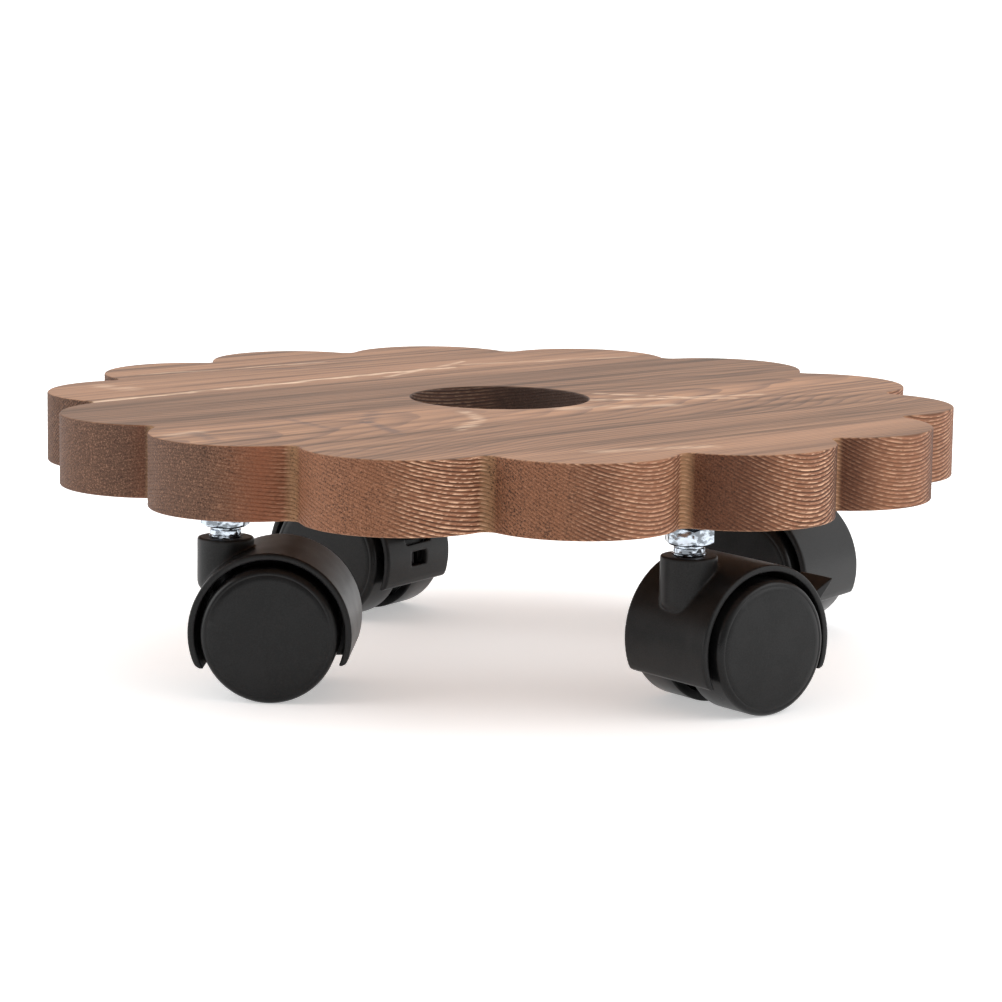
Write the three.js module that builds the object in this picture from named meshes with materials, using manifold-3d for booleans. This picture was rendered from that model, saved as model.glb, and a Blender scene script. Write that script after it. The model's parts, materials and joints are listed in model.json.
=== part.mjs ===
// A wheeled caddy for a plant pot: a scalloped round wooden board with a hole through its middle,
// carried on four swivelling twin-wheel casters. Two casters on one diagonal have a foot brake.
// Millimetres, +Z up. The origin is on the floor, under the middle of the board.
import * as THREE from 'three';
import { mergeVertices } from 'three/addons/utils/BufferGeometryUtils.js';
import Module from 'manifold-3d';

const wasm = await Module();
wasm.setup();

// ---- driving dimensions ----
const GAP = 0.3;                        // clearance left between neighbouring pieces
const CUT_PAST = 1;                     // how far a cutter reaches past the wall it opens

const BOARD_RADIUS = 140;               // to the tips of the petals
const BOARD_THICKNESS = 21.5;
const PETALS = 14;
const PETAL_RADIUS = 28.6;
const VALLEY_FILLET = 3.2;              // concave round between two petals
const CENTRE_HOLE_RADIUS = 27.3;
const EDGE_BREAK = 0.8;                 // small bevel along every edge of the board
const CASTER_CIRCLE = 96.7;             // radius on which the four stems stand
const DRILLING_TURN = -0.8;             // the drilled square is turned slightly from the petals
const FIRST_STEM_ANGLE = DRILLING_TURN - 2 * (360 / PETALS);

const WHEEL_RADIUS = 20;
const WHEEL_INNER = 5.1;                // inner face of a wheel, from the middle of its caster
const WHEEL_SHOULDER = 17.8;            // where the tread starts to round over
const WHEEL_FACE = 20.4;                // rim of the outer face
const WHEEL_CROWN = 20.7;               // middle of the domed outer face
const WHEEL_WALL = 2.6;                 // thickness of the tread and of the hub
const WHEEL_DISC = 18.1;                // inner side of the disc behind the outer face
const HOOD_RADIUS = 24;
const HOOD_WALL = 2.05;
const HOOD_HALF_WIDTH = 17.9;
const HOOD_RIM_BEVEL = 0.6;
// rounded lower ends of the hood, back and up from the axle
const SKIRT_BACK = [[23, -6.8], [22.3, -8.2], [21.1, -8.8]];
const SKIRT_FRONT = [[-20.5, -10.5], [-21.7, -9.8], [-22.5, -8.4]];
const WEB_HALF = 1.2;
const SOCKET_WALL = 1.6;                // round the stem's pin
const SOCKET_FLOOR = 1.8;
const BOSS_WALL = 2.6;                  // round the axle
const TRAIL = 15;                       // from the stem's axis back to the axle
const BARREL_RADIUS = 8.35;
const BARREL_BOTTOM = 29.3;             // above the floor
const BARREL_TOP = 45.8;
const JOURNAL_RADIUS = 4;
const PIN_RADIUS = 3;
const AXLE_RADIUS = 2.4;
const AXLE_HALF = 17.7;
const HEX_ACROSS_FLATS = 13;
const BOARD_BOTTOM = 59.3;              // above the floor
const INSERT_RADIUS = 5.6;
const INSERT_LENGTH = 13;
const THREAD_SETBACK = 1;               // the stem's thread ends this far inside the insert
const FLANGE_RADIUS = 8.4;
const FLANGE_THICKNESS = 1.3;
const CHAMFER = 0.5;                    // on small turned edges

// heights on the stem, above the floor
const STEM_BOTTOM = 31.6;
const JOURNAL_BOTTOM = 39.3;
const COLLAR_BOTTOM = BARREL_TOP + GAP;
const COLLAR_HEIGHT = 0.5;
const COLLAR_RADIUS = 4.9;
const NECK_RADIUS = 4.6;
const HEX_BOTTOM = 49;
const HEX_TOP = 54.2;
const GROOVE = { radius: 3.3, bottom: 41.3, top: 42.9 };
const CLIP = { inner: 3.6, outer: 4.8, bottom: 41.6, top: 42.6, opening: 50 };

const LEVER_HALF_WIDTH = 6.75;
const LEVER_PIVOT = [16, 8.4];          // back from the axle and up from it
const PEDAL = [
  [20.3, 6.6], [23.1, 6.7], [27, 7.4], [30.8, 9.3], [35.5, 14.5],
  [35.8, 15.4], [29.3, 12], [25.5, 10.3], [22.3, 9.7], [18.9, 9.9],
];
const LEVER_PIN_RADIUS = 1.2;
const LEVER_HUB_RADIUS = 2.5;
const SHOE_RADIUS = 20.85;              // the brake shoe's inner face, just clear of the tread
const SHOE_THICKNESS = 0.8;
const SHOE_ANGLES = [10, 26];
const ARM_ANGLES = [16, 27];            // where the lever's arms meet the shoe
const HUB_ANGLES = [100, 290];          // the arms' round end, about the pin
const FORK_ANGLES = [-10, 60];          // the space between the arms
const SLOT_ANGLES = [12, 30];           // the lever's slot in the hood, up from level
const LEVER_TRAVEL_SPACE = 1.4;         // how far the web is cut back under the shoe
const SLOT_MOUTH = 7;                   // degrees by which the slot's inner end reaches lower
const WINDOW = [8.6, 4.6];              // small window below the lever: width and height

// sides of the round pieces
const LARGE_ROUND = 36;
const WHEEL_ROUND = 24;
const SMALL_ROUND = 18;
const TINY_ROUND = 12;

// angle round the board is fixed by the petals; heading is the way each caster trails, offset is how
// far along X its hole was drilled from its true place, and flats is the turn of the stem's hexagon
const CASTERS = [
  { id: 1, heading: 38.7, offset: -2.2, flats: 9, brake: true },
  { id: 2, heading: -31.6, offset: -2.6, flats: 0, brake: false },
  { id: 3, heading: -31.0, offset: -1.0, flats: 25, brake: true },
  { id: 4, heading: -1.3, offset: -2.2, flats: -12, brake: false },
];

// ---- materials ----
const finish = (color, roughness, metalness) =>
  () => new THREE.MeshStandardMaterial({ color, roughness, metalness });
const wood = finish(0x7a4a30, 0.6, 0);
const nylon = finish(0x17181a, 0.5, 0);
const tread = finish(0x1b1c1e, 0.6, 0);
const zinc = finish(0xb9c2cc, 0.28, 1);
const steel = finish(0x8d9196, 0.35, 1);

// ---- helpers ----
const rad = THREE.MathUtils.degToRad;
const polar = (radius, degrees, cx = 0, cy = 0) =>
  new THREE.Vector2(cx + radius * Math.cos(rad(degrees)), cy + radius * Math.sin(rad(degrees)));

function arc(radius, from, to, steps, cx = 0, cy = 0) {
  const points = [];
  for (let i = 0; i <= steps; i += 1) {
    points.push(polar(radius, from + ((to - from) * i) / steps, cx, cy));
  }
  return points;
}

function solid(geometry) {
  const bare = geometry.index ? geometry.toNonIndexed() : geometry.clone();
  bare.deleteAttribute('normal');
  bare.deleteAttribute('uv');
  const merged = mergeVertices(bare, 1e-4);
  return new wasm.Manifold(new wasm.Mesh({
    numProp: 3,
    vertProperties: merged.attributes.position.array,
    triVerts: Uint32Array.from(merged.index.array),
  }));
}

function shape(manifold) {
  const mesh = manifold.getMesh();
  const geometry = new THREE.BufferGeometry();
  geometry.setAttribute('position', new THREE.BufferAttribute(mesh.vertProperties, 3));
  geometry.setIndex(new THREE.BufferAttribute(mesh.triVerts, 1));
  return geometry;
}

// profile of [radius, height] turned about the vertical axis
function turned(profile, segments) {
  const points = profile.map(([r, z]) => new THREE.Vector2(r, z));
  return new THREE.LatheGeometry(points, segments).rotateX(Math.PI / 2);
}

// profile of [radius, sideways] turned about the axle, which lies along Y
function turnedOnAxle(profile, segments) {
  const points = profile.map(([r, y]) => new THREE.Vector2(r, y));
  return new THREE.LatheGeometry(points, segments);
}

// outline in the caster's side plane (X back, Z up from the axle), as thick as 2 * half across Y
function slab(outline, half) {
  const flat = new THREE.Shape(outline.map((p) => new THREE.Vector2(p.x, p.y)));
  const body = new THREE.ExtrudeGeometry(flat, { depth: 2 * half, bevelEnabled: false });
  return body.rotateX(Math.PI / 2).translate(0, half, 0);
}

const corners = (pairs) => pairs.map(([x, z]) => new THREE.Vector2(x, z));

function named(name, geometry, material) {
  const mesh = new THREE.Mesh(geometry, material());
  mesh.name = name;
  return mesh;
}

// ---- board ----
function boardOutline() {
  const step = 360 / PETALS;
  const centre = BOARD_RADIUS - PETAL_RADIUS;
  const half = rad(step / 2);
  const reach = PETAL_RADIUS + VALLEY_FILLET;
  const offset = centre * Math.sin(half);
  const filletCentre = centre * Math.cos(half) + Math.sqrt(reach * reach - offset * offset);
  const toFillet = polar(filletCentre, step / 2).sub(new THREE.Vector2(centre, 0));
  const petalHalf = THREE.MathUtils.radToDeg(toFillet.angle());
  const valleyHalf = petalHalf - step / 2;
  const points = [];
  for (let i = 0; i < PETALS; i += 1) {
    const turn = i * step;
    const petal = polar(centre, turn);
    const valley = polar(filletCentre, turn + step / 2);
    points.push(...arc(PETAL_RADIUS, turn - petalHalf, turn + petalHalf, 10, petal.x, petal.y));
    const inward = turn + step / 2 + 180;
    points.push(...arc(VALLEY_FILLET, inward + valleyHalf, inward - valleyHalf, 3, valley.x, valley.y)
      .slice(1, -1));
  }
  return points;
}

function boardGeometry() {
  const flat = new THREE.Shape(boardOutline());
  flat.holes.push(new THREE.Path(arc(CENTRE_HOLE_RADIUS, 0, 360, 40).slice(0, -1).reverse()));
  const blank = new THREE.ExtrudeGeometry(flat, {
    depth: BOARD_THICKNESS - 2 * EDGE_BREAK,
    bevelThickness: EDGE_BREAK,
    bevelSize: EDGE_BREAK,
    bevelOffset: -EDGE_BREAK,
    bevelSegments: 1,
  }).translate(0, 0, BOARD_BOTTOM + EDGE_BREAK);
  let board = solid(blank);
  const depth = INSERT_LENGTH + 2 * CUT_PAST;
  const drillRadius = INSERT_RADIUS + GAP;
  for (const { id, offset } of CASTERS) {
    const at = stemPlace(id, offset);
    const drill = new THREE.CylinderGeometry(drillRadius, drillRadius, 2 * depth, SMALL_ROUND)
      .rotateX(Math.PI / 2).translate(at.x, at.y, BOARD_BOTTOM);
    board = board.subtract(solid(drill));
  }
  return shape(board);
}

function stemPlace(id, offset) {
  return polar(CASTER_CIRCLE, FIRST_STEM_ANGLE + 90 * (id - 1), offset, 0);
}

// ---- threaded insert in the board, with a flange against its underside ----
function insertGeometry() {
  const bore = JOURNAL_RADIUS + GAP;
  const flangeTop = BOARD_BOTTOM - GAP;
  const top = BOARD_BOTTOM + INSERT_LENGTH;
  return turned([
    [bore, flangeTop - FLANGE_THICKNESS],
    [FLANGE_RADIUS - CHAMFER, flangeTop - FLANGE_THICKNESS],
    [FLANGE_RADIUS, flangeTop - CHAMFER],
    [FLANGE_RADIUS, flangeTop],
    [INSERT_RADIUS, flangeTop],
    [INSERT_RADIUS, top],
    [bore, top],
    [bore, flangeTop - FLANGE_THICKNESS],
  ], SMALL_ROUND);
}

// ---- stem: threaded end, hexagon for the spanner, neck, grooved journal and pin ----
function stemGeometry(flats) {
  const threadTop = BOARD_BOTTOM + INSERT_LENGTH - THREAD_SETBACK;
  const shaft = turned([
    [0, STEM_BOTTOM],
    [PIN_RADIUS - CHAMFER, STEM_BOTTOM],
    [PIN_RADIUS, STEM_BOTTOM + CHAMFER],
    [PIN_RADIUS, JOURNAL_BOTTOM],
    [JOURNAL_RADIUS, JOURNAL_BOTTOM],
    [JOURNAL_RADIUS, GROOVE.bottom],
    [GROOVE.radius, GROOVE.bottom],
    [GROOVE.radius, GROOVE.top],
    [JOURNAL_RADIUS, GROOVE.top],
    [JOURNAL_RADIUS, COLLAR_BOTTOM],
    [COLLAR_RADIUS, COLLAR_BOTTOM],
    [COLLAR_RADIUS, COLLAR_BOTTOM + COLLAR_HEIGHT],
    [NECK_RADIUS, COLLAR_BOTTOM + COLLAR_HEIGHT + GAP],
    [NECK_RADIUS, HEX_BOTTOM + CHAMFER],
    [JOURNAL_RADIUS, HEX_BOTTOM + 2 * CHAMFER],
    [JOURNAL_RADIUS, threadTop - CHAMFER],
    [JOURNAL_RADIUS - CHAMFER, threadTop],
    [0, threadTop],
  ], SMALL_ROUND);
  const hexInner = HEX_ACROSS_FLATS / 2;
  const hexCorner = hexInner / Math.cos(Math.PI / 6);
  const hexHeight = HEX_TOP - HEX_BOTTOM;
  const hexagon = new THREE.CylinderGeometry(hexCorner, hexCorner, hexHeight, 6)
    .rotateX(Math.PI / 2).rotateZ(rad(flats)).translate(0, 0, HEX_BOTTOM + hexHeight / 2);
  const rounding = turned([
    [0, HEX_BOTTOM],
    [hexInner - CHAMFER, HEX_BOTTOM],
    [hexCorner, HEX_BOTTOM + 2 * CHAMFER],
    [hexCorner, HEX_TOP - CHAMFER],
    [hexInner, HEX_TOP],
    [0, HEX_TOP],
  ], SMALL_ROUND);
  return shape(solid(shaft).add(solid(hexagon).intersect(solid(rounding))));
}

// ---- split spring ring that keeps the stem in the barrel ----
function clipGeometry() {
  const from = CLIP.opening / 2;
  const outline = [
    ...arc(CLIP.outer, from, 360 - from, 12),
    ...arc(CLIP.inner, 360 - from, from, 12),
  ];
  const body = new THREE.ExtrudeGeometry(new THREE.Shape(outline), {
    depth: CLIP.top - CLIP.bottom,
    bevelEnabled: false,
  });
  return body.translate(0, 0, CLIP.bottom);
}

// ---- hood: drum-shaped shell over both wheels, with the swivel barrel in front ----
function drum(radius, half, segments) {
  return turnedOnAxle([
    [0, -half],
    [radius - HOOD_RIM_BEVEL, -half],
    [radius, -half + HOOD_RIM_BEVEL],
    [radius, half - HOOD_RIM_BEVEL],
    [radius - HOOD_RIM_BEVEL, half],
    [0, half],
  ], segments);
}

function upright(radius, bottom, top, segments) {
  return new THREE.CylinderGeometry(radius, radius, top - bottom, segments)
    .rotateX(Math.PI / 2).translate(-TRAIL, 0, (top + bottom) / 2 - WHEEL_RADIUS);
}

function onAxle(radius, half, segments) {
  return new THREE.CylinderGeometry(radius, radius, 2 * half, segments);
}

// everything under the hood's lower end
function belowSkirt() {
  const far = 2 * HOOD_RADIUS;
  const back = [far, SKIRT_BACK[0][1]];
  const front = [-far, SKIRT_FRONT.at(-1)[1]];
  const outline = [[-far, -far], [far, -far], back, ...SKIRT_BACK, ...SKIRT_FRONT, front];
  return slab(corners(outline), far);
}

// the middle web, the socket for the stem's pin and the boss for the axle
function webSolid(inner) {
  const middle = inner + HOOD_WALL / 2;
  const socketBottom = STEM_BOTTOM - SOCKET_FLOOR;
  const socket = upright(PIN_RADIUS + SOCKET_WALL, socketBottom, WHEEL_RADIUS + inner, SMALL_ROUND);
  return solid(onAxle(middle, WEB_HALF, LARGE_ROUND))
    .add(solid(socket))
    .intersect(solid(onAxle(middle, HOOD_HALF_WIDTH, LARGE_ROUND)))
    .add(solid(onAxle(AXLE_RADIUS + BOSS_WALL, WHEEL_INNER - GAP, SMALL_ROUND)));
}

// the brake's slot, the window under it and the hole for the lever's pin
function brakeCuts(inner) {
  const [low, high] = SLOT_ANGLES;
  const slot = slab([
    ...arc(HOOD_RADIUS + 2 * HOOD_WALL, low, high, 3),
    ...arc(SHOE_RADIUS - LEVER_TRAVEL_SPACE, high, low - SLOT_MOUTH, 4),
    ...arc(inner, low - SLOT_MOUTH, low, 1),
  ], LEVER_HALF_WIDTH + GAP);
  const [windowWidth, windowHeight] = WINDOW;
  const window = new THREE.BoxGeometry(HOOD_RADIUS, windowWidth, windowHeight)
    .translate(inner + HOOD_RADIUS / 2 - CUT_PAST, 0, 0);
  const [pinX, pinZ] = LEVER_PIVOT;
  const pinHole = onAxle(LEVER_PIN_RADIUS + GAP, HOOD_HALF_WIDTH / 2, TINY_ROUND).translate(pinX, 0, pinZ);
  return [slot, window, pinHole];
}

function hoodGeometry(brake) {
  const inner = HOOD_RADIUS - HOOD_WALL;
  const open = BARREL_TOP + CUT_PAST;
  let hood = solid(drum(HOOD_RADIUS, HOOD_HALF_WIDTH, LARGE_ROUND))
    .add(solid(upright(BARREL_RADIUS, BARREL_BOTTOM, BARREL_TOP, WHEEL_ROUND)))
    .subtract(solid(onAxle(inner, 2 * HOOD_HALF_WIDTH, LARGE_ROUND)))
    .add(webSolid(inner));
  const cuts = [
    belowSkirt(),
    upright(PIN_RADIUS + GAP, STEM_BOTTOM - GAP, open, SMALL_ROUND),
    upright(JOURNAL_RADIUS + GAP, JOURNAL_BOTTOM - GAP, open, SMALL_ROUND),
    upright(CLIP.outer + GAP, CLIP.bottom - GAP, CLIP.top + GAP, SMALL_ROUND),
    onAxle(AXLE_RADIUS + GAP, HOOD_HALF_WIDTH, TINY_ROUND),
    ...(brake ? brakeCuts(inner) : []),
  ];
  for (const cut of cuts) hood = hood.subtract(solid(cut));
  return shape(hood);
}

// ---- wheels and axle ----
function wheelGeometry(side) {
  const bore = AXLE_RADIUS + GAP;
  const half = WHEEL_RADIUS / 2;
  const shoulder = WHEEL_FACE - WHEEL_SHOULDER;
  const profile = [
    [0, WHEEL_CROWN],
    [half, WHEEL_CROWN - (WHEEL_CROWN - WHEEL_FACE) / 4],
    [WHEEL_RADIUS - shoulder, WHEEL_FACE],
    [WHEEL_RADIUS - shoulder / 3, WHEEL_FACE - shoulder / 3],
    [WHEEL_RADIUS, WHEEL_SHOULDER],
    [WHEEL_RADIUS, WHEEL_INNER + CHAMFER],
    [WHEEL_RADIUS - CHAMFER, WHEEL_INNER],
    [WHEEL_RADIUS - WHEEL_WALL, WHEEL_INNER],
    [WHEEL_RADIUS - WHEEL_WALL, WHEEL_DISC],
    [bore + WHEEL_WALL, WHEEL_DISC],
    [bore + WHEEL_WALL, WHEEL_INNER],
    [bore, WHEEL_INNER],
    [bore, WHEEL_DISC],
    [0, WHEEL_DISC],
  ];
  const oriented = side > 0 ? profile.toReversed() : profile.map(([r, y]) => [r, -y]);
  return turnedOnAxle(oriented, WHEEL_ROUND);
}

// ---- foot brake: a lever on a pin, whose shoe presses on both treads ----
function leverGeometry() {
  const [pivotX, pivotZ] = LEVER_PIVOT;
  const [shoeLow, shoeHigh] = SHOE_ANGLES;
  const [armLow, armHigh] = ARM_ANGLES;
  const [forkLow, forkHigh] = FORK_ANGLES;
  const pedal = slab(corners(PEDAL), LEVER_HALF_WIDTH);
  const shoe = slab([
    ...arc(SHOE_RADIUS, shoeLow, shoeHigh, 3),
    ...arc(SHOE_RADIUS + SHOE_THICKNESS, shoeHigh, shoeLow, 3),
  ], LEVER_HALF_WIDTH);
  const arms = slab([
    ...arc(LEVER_HUB_RADIUS, ...HUB_ANGLES, 6, pivotX, pivotZ),
    ...arc(SHOE_RADIUS + SHOE_THICKNESS / 2, armLow, armHigh, 2),
  ], WHEEL_INNER - 2 * GAP);
  // the space between the arms, where the hood's web runs
  const fork = slab([
    ...arc(SHOE_RADIUS - GAP, forkLow, forkHigh, 8),
    ...arc(SHOE_RADIUS / 2, forkHigh, forkLow, 3),
  ], WEB_HALF + GAP);
  const pinHole = onAxle(LEVER_PIN_RADIUS + GAP, HOOD_HALF_WIDTH, TINY_ROUND).translate(pivotX, 0, pivotZ);
  const treadSpace = solid(onAxle(SHOE_RADIUS, 2 * HOOD_HALF_WIDTH, 2 * WHEEL_ROUND));
  const wide = solid(pedal).add(solid(shoe)).subtract(treadSpace);
  return shape(wide.add(solid(arms)).subtract(solid(fork)).subtract(solid(pinHole)));
}

function leverPinGeometry() {
  const [pivotX, pivotZ] = LEVER_PIVOT;
  return onAxle(LEVER_PIN_RADIUS, WHEEL_INNER - 2 * GAP, TINY_ROUND).translate(pivotX, 0, pivotZ);
}

// ---- assembly ----
const caddy = new THREE.Group();
caddy.add(named('board', boardGeometry(), wood));

for (const { id, heading, offset, flats, brake } of CASTERS) {
  const place = stemPlace(id, offset);
  const fixed = new THREE.Group();
  fixed.position.set(place.x, place.y, 0);
  fixed.add(named(`insert_${id}`, insertGeometry(), zinc));
  fixed.add(named(`stem_${id}`, stemGeometry(flats), zinc));
  caddy.add(fixed);

  const swivel = new THREE.Group();
  swivel.position.set(place.x, place.y, 0);
  swivel.rotation.z = rad(heading);
  swivel.add(named(`clip_${id}`, clipGeometry(), steel));
  const axleFrame = new THREE.Group();
  axleFrame.position.set(TRAIL, 0, WHEEL_RADIUS);
  axleFrame.add(named(`hood_${id}`, hoodGeometry(brake), nylon));
  axleFrame.add(named(`axle_${id}`, onAxle(AXLE_RADIUS, AXLE_HALF, TINY_ROUND), steel));
  axleFrame.add(named(`wheel_${id}_left`, wheelGeometry(1), tread));
  axleFrame.add(named(`wheel_${id}_right`, wheelGeometry(-1), tread));
  if (brake) {
    axleFrame.add(named(`brake_lever_${id}`, leverGeometry(), nylon));
    axleFrame.add(named(`brake_pin_${id}`, leverPinGeometry(), steel));
  }
  swivel.add(axleFrame);
  caddy.add(swivel);
}

export default caddy;
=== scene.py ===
"""The looks of a wheeled caddy for a plant pot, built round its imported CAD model.

Shapes are written in millimetres and become metres when they are placed. A caster's pieces are made
in the caster's own frame: origin in the middle of the axle, X the way it trails, Y along the axle,
Z up. The board and the stems are made in the frame of the whole caddy.
"""
import json
import math

import bmesh
import bpy
import numpy as np
from mathutils import Matrix, Vector, noise


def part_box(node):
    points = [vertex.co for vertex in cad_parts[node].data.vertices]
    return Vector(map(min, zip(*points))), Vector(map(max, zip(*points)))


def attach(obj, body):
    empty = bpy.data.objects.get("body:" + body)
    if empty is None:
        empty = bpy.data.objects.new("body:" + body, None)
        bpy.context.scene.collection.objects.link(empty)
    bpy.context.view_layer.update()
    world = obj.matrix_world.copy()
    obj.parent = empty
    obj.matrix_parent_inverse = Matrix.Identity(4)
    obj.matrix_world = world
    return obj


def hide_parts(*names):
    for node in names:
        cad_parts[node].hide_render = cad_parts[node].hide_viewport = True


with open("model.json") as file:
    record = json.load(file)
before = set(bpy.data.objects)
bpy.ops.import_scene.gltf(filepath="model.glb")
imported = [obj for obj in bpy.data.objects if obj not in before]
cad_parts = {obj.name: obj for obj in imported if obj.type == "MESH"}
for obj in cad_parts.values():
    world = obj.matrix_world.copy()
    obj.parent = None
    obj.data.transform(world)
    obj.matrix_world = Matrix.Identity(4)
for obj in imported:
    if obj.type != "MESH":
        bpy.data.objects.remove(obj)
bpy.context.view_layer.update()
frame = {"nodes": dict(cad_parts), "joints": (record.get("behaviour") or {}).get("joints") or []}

MM = 0.001

# ---- the board, in millimetres ----
BOARD_LOW, BOARD_HIGH = (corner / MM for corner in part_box("board"))
BOARD_RADIUS = BOARD_HIGH.x
PETALS = 14
PETAL_RADIUS = 28.6
VALLEY_FILLET = 3.2
HOLE_RADIUS = 27.4
EDGE_ROUND = 0.6            # radius of the board's sanded edges
EDGE_ANGLES = (0, 22, 45, 68, 90)    # steps round that radius, in degrees from the upright side
FACE_INSET = 0.5            # how far inside the sanded edge the flat faces' loops begin
SKIN = 0.06                 # how far the wood's surface lies inside the CAD model's
RIDGE_DEPTH = 0.20          # brushed grooves between the growth rings on the edge of the board
RIDGE_PEAK = 0.8            # where a ring is proudest, as a share of its width
EDGE_RIDGES = 0.2           # how much of the relief is left on the outer sanded edges
RIM_RIDGES = 0.3            # and on the hole's
OUTLINE_STEP = 0.8          # between points round the board
VALLEY_STEP = 0.48          # and round the fillets in its valleys
FACE_EVERY = 4              # flat faces use every fourth of those points
SIDE_ROWS = 86
BORE_ROWS = 22
TOP_LOOPS = 38
UNDERSIDE_LOOPS = 18

# ---- the wood's grain, in millimetres and degrees ----
GRAIN_ANGLE = 43.7          # from the caddy's X
PITH_ACROSS = -22.0         # where the tree's pith lies, across the grain and below the board's top
PITH_DEPTH = 150.0
PITH_DIP = 0.045            # how fast it gets deeper along the grain
RING_WIDTH = 1.00           # of the ring that touches the board's top right over the pith
RING_NARROWING = 0.0040     # how much narrower the rings get with each millimetre outward
# unevenness of the rings: height, lengths along, across and down, and the noise's own offset
RING_WAVES = [(2.2, (95, 38, 60), (0, 0, 0)), (0.55, (34, 13, 22), (7, 0, 0)),
              (0.1, (9, 5, 6), (0, 0, 3))]

GRAIN = Vector((math.cos(math.radians(GRAIN_ANGLE)), math.sin(math.radians(GRAIN_ANGLE)), 0))
ACROSS = Vector((-GRAIN.y, GRAIN.x, 0))

# broad bands of lighter and darker wood on the top: place across the grain, in millimetres, and level
BANDS = [(-140, 0.88), (-106, 1.0), (-88, 0.74), (-52, 0.78), (-40, 0.98), (-16, 0.96), (-4, 0.65),
         (48, 0.60), (58, 0.98), (84, 1.0), (94, 0.82), (112, 0.96), (140, 0.82)]
BAND_TILT = 0.12            # how fast the bands drift across as they run along
BAND_WANDER = 12.0          # how far clouds push them, half of it to either side

# how strongly the brushed rings stand out on the edge, in relief, painted groove shade and painted crest
# highlight: place along the grain, in millimetres, and level
BRUSHED = [(-150, 0.1), (-128, 0.15), (-111, 1.0), (-85, 0.95), (-60, 0.5), (-30, 0.6), (0, 1.0),
           (12, 0.95), (26, 0.4), (45, 0.45), (62, 0.55), (150, 0.45)]

# strokes on the top, in millimetres on the board: from, to, half width and strength
PALE_STROKES = [((-124, -30), (-50, 45), 2.2, 1.0), ((-50, 45), (-18, 76), 2.2, 1.0),
                ((-38, 46), (-14, 92), 1.6, 0.6), ((-14, 84), (44, 116), 2.6, 0.4),
                ((-121, 38), (-60, 84), 1.6, 0.5), ((30, 13), (58, 8), 2.4, 0.6),
                ((58, 8), (82, 19), 2.4, 0.55), ((28, -2), (50, 4), 2.6, 0.65),
                ((50, 4), (73, 8), 2.4, 0.6), ((20, -24), (52, -11), 6.0, 0.5),
                ((-10, -34), (-4, -52), 3.4, 0.5), ((-4, -52), (-10, -74), 3.4, 0.55),
                ((-124, 10), (-116, 4), 6.5, 0.4), ((28, -114), (62, -99), 4.0, 0.45),
                ((-90, -96), (-84, -88), 5.0, 0.4)]
DARK_STROKES = [((-36, -40), (-37, -62), 3.6, 0.6), ((-37, -62), (-27, -84), 3.2, 0.6),
                ((-62, -58), (-46, -78), 3.0, 0.5), ((-84, -92), (-76, -106), 3.6, 0.5),
                ((-88, 58), (-48, 72), 2.2, 0.5), ((-72, 80), (-46, 91), 2.0, 0.5)]
STROKE_WAVER = 5.0          # how far noise bends the strokes aside

# across the grain, in millimetres: where end grain turns grey, and where the outermost wood darkens
GREY_FROM, GREY_TO = -52.0, -22.0
OUTERMOST_FROM, OUTERMOST_TO = -112.0, -126.0
# along the grain: where the edge turns red
RED_FROM, RED_TO = -113.0, -127.0

# ---- the wood's colours, linear: a darker and a lighter end, or one tint ----
SIDE_BROWN = ((0.235, 0.095, 0.048), (0.41, 0.188, 0.104))
SIDE_RED = ((0.150, 0.050, 0.023), (0.310, 0.108, 0.052))
# painted highlight on the crests of the brushed rings
CREST_PAINTED_HIGHLIGHT = (0.92, 0.57, 0.37)
# dark latewood colour, deepened into painted shade in the brushed grooves
LATEWOOD_GROOVE_SHADE = (0.045, 0.015, 0.008)
END_WARM = ((0.218, 0.087, 0.043), (0.305, 0.130, 0.066))
END_GREY = ((0.100, 0.052, 0.033), (0.165, 0.083, 0.051))
END_LATEWOOD = (0.060, 0.026, 0.016)
PALE_SPECK = (0.42, 0.215, 0.130)
DARK_SPECK = (0.050, 0.023, 0.014)
OUTERMOST_TINT = (0.42, 0.35, 0.32)
VALLEY_WOOD = ((0.30, 0.165, 0.080), (0.46, 0.27, 0.135))
TOP_EARLYWOOD = ((0.430, 0.226, 0.131), (0.580, 0.316, 0.182))
TOP_LATEWOOD = ((0.165, 0.092, 0.068), (0.225, 0.128, 0.092))
PALE_STREAK = (0.82, 0.57, 0.40)
DARK_STREAK = (0.130, 0.085, 0.075)
# the bore's walls: partly darker wood, partly painted shade of the deep hole
BORE_WOOD_AND_SHADE = (0.045, 0.026, 0.020)
PIT_WOOD = (0.028, 0.014, 0.010)

# ---- the wood's texture ----
# features per metre along the grain, across it and down
FIBRES = (110, 2300, 2300)
CORDS = (28, 520, 520)
CLOUDS = (9, 34, 34)
DASHES = (420, 420, 2100)
PITS = (260, 1500, 1500)
STREAKS = (7, 240, 240)
STROKE_BREAKS = (60, 330, 1)
SPECKS = 2100               # features per metre in all directions
PATCHES = 26
# levels over the width of a growth ring, from its inner side
LATEWOOD_LEVELS = [(0, 0.06), (0.35, 0.12), (0.66, 0.55), (0.86, 1), (0.97, 0.9), (1, 0.1)]
GROOVE_LEVELS = [(0, 0.15), (0.2, 0), (0.5, 0.05), (0.72, 0.8), (0.84, 1), (0.94, 0.8), (1, 0.15)]
CREST_LEVELS = [(0, 0.5), (0.08, 1), (0.26, 0.8), (0.5, 0.15), (0.7, 0), (0.97, 0.1)]
# levels over the strength of a noise
STREAK_LEVELS = [(0.32, 0.26), (0.45, 0.72), (0.58, 1.0)]
FIBRE_LEVELS = [(0.25, 0.55), (0.5, 0.86), (0.75, 1.0)]
# how squarely a face looks along the grain, or up or down, before it counts as end grain, or as a top
END_FROM, END_TO = 0.42, 0.86
OUTERMOST_END_FROM, OUTERMOST_END_TO = 0.24, 0.60
TOP_FROM, TOP_TO = 0.6, 0.9

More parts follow.
